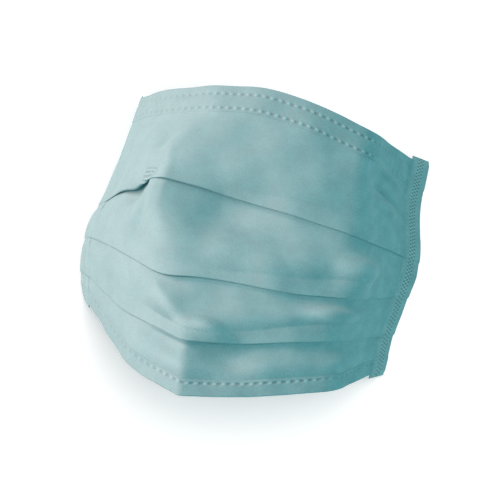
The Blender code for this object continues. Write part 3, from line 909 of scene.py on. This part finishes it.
# %% Marks and puckers on the web
def marked(tree, across, down, rows, shown, colour, height):
    """Colour and height with the rows added. The pressed marks are darker and sunk in, the
    cloth between them is painted paler as a highlight on the raised cloth, and both fade out
    past the two places across."""
    pressed = painted_highlight = 0.0
    for row, along, aside, pitch, length, width in rows:
        marks = group_node(tree, weld_row)
        along_row, from_edge = ((across, down) if along == "across"
                                else (math(tree, "ADD", down, aside), across))
        feed(tree, marks.inputs["Along"], along_row)
        feed(tree, marks.inputs["From Edge"], math(tree, "ABSOLUTE", from_edge))
        sizes_here = {"Row": row, "Pitch": pitch, "Length": length, "Width": width}
        for socket, value in sizes_here.items():
            marks.inputs[socket].default_value = value
        pressed = math(tree, "ADD", marks.outputs["Pressed"], pressed)
        painted_highlight = math(tree, "ADD", marks.outputs["Painted Highlight"], painted_highlight)
    shown_here = times(tree, fade(tree, across, *shown[0], LEFT_OVER, 1.0),
                       fade(tree, across, *shown[1], 1.0, RIGHT_OVER))
    # the marks take their own darker tone, and the cloth between them a painted highlight
    for mask, strength, shade in ((pressed, MARK_STRENGTH, WELD_MARK_AND_PAINTED_GROOVE_SHADE),
                                  (painted_highlight, PAINTED_HIGHLIGHT_STRENGTH, PAINTED_HIGHLIGHT_SHADE)):
        colour = mixed(tree, times(tree, mask, strength, shown_here), colour, shade)
    return colour, math(tree, "SUBTRACT", height, times(tree, pressed, MARK_SINK))


def pinched(tree, across, down, pinch, colour, height):
    """Colour and height with the puckers at the pinch added: a painted highlight on top and painted
    shade between.
    """
    folded = group_node(tree, puckers)
    feed(tree, folded.inputs["Across"], math(tree, "SUBTRACT", across, pinch[0]))
    feed(tree, folded.inputs["Down"], math(tree, "SUBTRACT", down, pinch[1]))
    fold = folded.outputs["Fold"]
    # painted highlight on the puckers' crests, painted shade in their grooves
    colour = mixed(tree, fade(tree, fold, -0.2, 1.0, 0.0, 0.9), colour, PAINTED_HIGHLIGHT_SHADE)
    colour = mixed(tree, fade(tree, fold, -1.0, -0.4, 0.45, 0.0), colour, WELD_MARK_AND_PAINTED_GROOVE_SHADE)
    return colour, math(tree, "ADD", height, times(tree, fold, PUCKER_HEIGHT))


# %% Cloth material
def cloth_material(name, thin, dense, roughness, rows=(), shown=EVERYWHERE, pinch=None):
    """Web of two shades, with its rows of marks and its pinch where it has them."""
    made = bpy.data.materials.new(name)
    made.use_nodes = True
    tree = made.node_tree
    shader = tree.nodes["Principled BSDF"]
    uv = add_node(tree, "ShaderNodeUVMap", uv_map="flat_cloth")
    web = group_node(tree, nonwoven)
    feed(tree, web.inputs["Place"], uv.outputs["UV"])
    split = tree.nodes.new("ShaderNodeSeparateXYZ")
    feed(tree, split.inputs["Vector"], uv.outputs["UV"])
    across, down = split.outputs["X"], split.outputs["Y"]
    colour = mixed(tree, fade(tree, web.outputs["Shade"], *WEB_CONTRAST), dense, thin)
    height = times(tree, web.outputs["Height"], WEB_HEIGHT)
    if rows:
        colour, height = marked(tree, across, down, rows, shown, colour, height)
    if pinch:
        colour, height = pinched(tree, across, down, pinch, colour, height)
    bump = add_node(tree, "ShaderNodeBump", strength=0.8, distance=1.0)
    feed(tree, bump.inputs["Height"], height)
    feed(tree, shader.inputs["Base Color"], colour)
    feed(tree, shader.inputs["Normal"], bump.outputs["Normal"])
    shader.inputs["Roughness"].default_value = roughness
    shader.inputs["IOR"].default_value = FIBRE_IOR
    shader.inputs["Subsurface Weight"].default_value = 0.35
    shader.inputs["Subsurface Radius"].default_value = (0.6, 1.0, 1.0)
    shader.inputs["Subsurface Scale"].default_value = 0.6 * MM
    return made


# %% Each piece's cloth
PINCH = (-0.256 * FLAT_WIDTH, 0.468 * SIDE_HEIGHT)
# where the hems' marks fade in and out, as shares across
TOP_MARKS_FROM = (0.30, 0.36)
BOTTOM_MARKS_FROM = (0.34, 0.40)
MARKS_TO = (0.73, 0.77)
# the bindings' dots, by rows from the fold
DOT_ROWS = 3
FIRST_DOTS = 3.3 * MM
DOT_ROW_STEP = 1.15 * MM
DOT_PITCH = 1.6 * MM
DOT_LENGTH = 1.0 * MM
DOT_WIDTH = 0.8 * MM


def hem_rows(places):
    """Rows of dashes that run across the mask at those distances from the edge."""
    return [(place, "across", 0.0, WELD_PITCH, WELD_LENGTH, WELD_WIDTH) for place in places]


dot_rows = [(FIRST_DOTS + DOT_ROW_STEP * row, "down", 0.5 * DOT_PITCH * (row % 2), DOT_PITCH,
             DOT_LENGTH, DOT_WIDTH) for row in range(DOT_ROWS)]
body.data.materials.append(cloth_material("body cloth", THIN_SHADE, DENSE_SHADE, BODY_ROUGHNESS,
                                          pinch=PINCH))
for hem, rows, marks_from in ((top_hem, TOP_ROWS, TOP_MARKS_FROM),
                              (bottom_hem, BOTTOM_ROWS, BOTTOM_MARKS_FROM)):
    shown = [tuple(FLAT_WIDTH * (np.array(shares) - 0.5)) for shares in (marks_from, MARKS_TO)]
    hem.data.materials.append(cloth_material(hem.name + " cloth", THIN_SHADE, DENSE_SHADE,
                                             STRIP_ROUGHNESS, hem_rows(rows), shown))
for piece in bindings:
    piece.data.materials.append(cloth_material(piece.name + " cloth", BINDING_THIN_SHADE,
                                               BINDING_DENSE_SHADE, STRIP_ROUGHNESS, dot_rows))
print("materials:", [material.name for material in bpy.data.materials])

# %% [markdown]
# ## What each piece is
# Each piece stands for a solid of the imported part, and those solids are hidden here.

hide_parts("pleated_body")
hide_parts("top_hem")
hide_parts("bottom_hem")
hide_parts("left_binding")
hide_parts("right_binding")

# %% [markdown]
# ## Floor, light and camera
# The mask lies on a plain pale floor, which glows faintly so that its ground comes out white.
# The left light acts on gloss alone: it lays a pale veil over the left side and leaves the
# right side in shade. The world lights everything evenly, and the two other lights model the
# top and the right side without adding gloss.

# %% Floor
FLOOR_HALF = 4.0
FLOOR_SHADE = (0.92, 0.92, 0.92, 1.0)
FLOOR_GLOW = 0.25


def floor():
    """Large square just under the mask."""
    corners = [(FLOOR_HALF * x, FLOOR_HALF * y, 0) for x, y in ((-1, -1), (1, -1), (1, 1), (-1, 1))]
    mesh = bpy.data.meshes.new("floor")
    mesh.from_pydata(corners, [], [(0, 1, 2, 3)])
    made = bpy.data.objects.new("floor", mesh)
    bpy.context.collection.objects.link(made)
    look = bpy.data.materials.new("pale floor")
    look.use_nodes = True
    shader = look.node_tree.nodes["Principled BSDF"]
    shader.inputs["Base Color"].default_value = FLOOR_SHADE
    shader.inputs["Emission Color"].default_value = (1.0, 1.0, 1.0, 1.0)
    shader.inputs["Emission Strength"].default_value = FLOOR_GLOW
    shader.inputs["Roughness"].default_value = 1.0
    shader.inputs["Specular IOR Level"].default_value = 0.0
    made.data.materials.append(look)
    made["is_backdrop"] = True
    return made


floor()
print("floor is", 2 * FLOOR_HALF, "m wide")

# %% Lights
WORLD_STRENGTH = 0.76


def soft_light(name, direction, width, height, power, distance):
    """Rectangular area light that looks at the mask from that direction."""
    data = bpy.data.lights.new(name, "AREA")
    data.shape = "RECTANGLE"
    data.size = width
    data.size_y = height
    data.energy = power
    made = bpy.data.objects.new(name, data)
    place = Vector(direction).normalized() * distance
    made.location = place
    made.rotation_euler = place.to_track_quat("Z", "Y").to_euler()
    made.visible_camera = False
    bpy.context.collection.objects.link(made)
    return made


glow = soft_light("left glow", direction=(-0.825, 0.06, 0.545), width=1.2, height=0.8,
                  power=136.0, distance=1.2)
glow.data.color = (1.0, 0.985, 0.965)
glow.visible_diffuse = False
overhead = soft_light("overhead", direction=(0.25, -0.25, 1.0), width=1.2, height=1.2,
                      power=4.0, distance=1.4)
overhead.visible_glossy = False
fill = soft_light("right fill", direction=(0.70, -0.30, 0.65), width=1.2, height=1.2,
                  power=4.5, distance=1.4)
fill.visible_glossy = False
world = bpy.data.worlds.new("studio")
world.use_nodes = True
background = world.node_tree.nodes["Background"]
background.inputs["Color"].default_value = (1.0, 1.0, 1.0, 1.0)
background.inputs["Strength"].default_value = WORLD_STRENGTH
bpy.context.scene.world = world
bpy.context.scene.view_settings.view_transform = "Standard"
print("lights:", [light.name for light in bpy.data.lights])

# %% Camera
CAMERA_TURN = np.radians(13.7)
CAMERA_RISE = np.radians(65.0)
CAMERA_DISTANCE = 0.9
PIXELS_PER_METRE = 2460.0
IMAGE_SIZE = 500
# the target stands this many pixels over the middle of the picture
PICTURE_SHIFT = 7.0
SENSOR = 36.0
CAMERA_TARGET = np.array([0.00075, 0.0071, 0.0195])
right = np.array([np.cos(CAMERA_TURN), np.sin(CAMERA_TURN), 0.0])
back = np.array([np.sin(CAMERA_TURN) * np.cos(CAMERA_RISE),
                 -np.cos(CAMERA_TURN) * np.cos(CAMERA_RISE), np.sin(CAMERA_RISE)])
upward = np.cross(back, right)
place = CAMERA_TARGET + back * CAMERA_DISTANCE - upward * PICTURE_SHIFT / PIXELS_PER_METRE
camera_data = bpy.data.cameras.new("camera")
camera_data.sensor_width = SENSOR
camera_data.lens = SENSOR * PIXELS_PER_METRE * CAMERA_DISTANCE / IMAGE_SIZE
camera_data.clip_start = 0.01
camera = bpy.data.objects.new("camera", camera_data)
turned_axes = np.eye(4)
turned_axes[:3, 0] = right
turned_axes[:3, 1] = upward
turned_axes[:3, 2] = back
turned_axes[:3, 3] = place
camera.matrix_world = Matrix(turned_axes.tolist())
bpy.context.collection.objects.link(camera)
bpy.context.scene.camera = camera
print("camera stands at", np.round(place, 3))
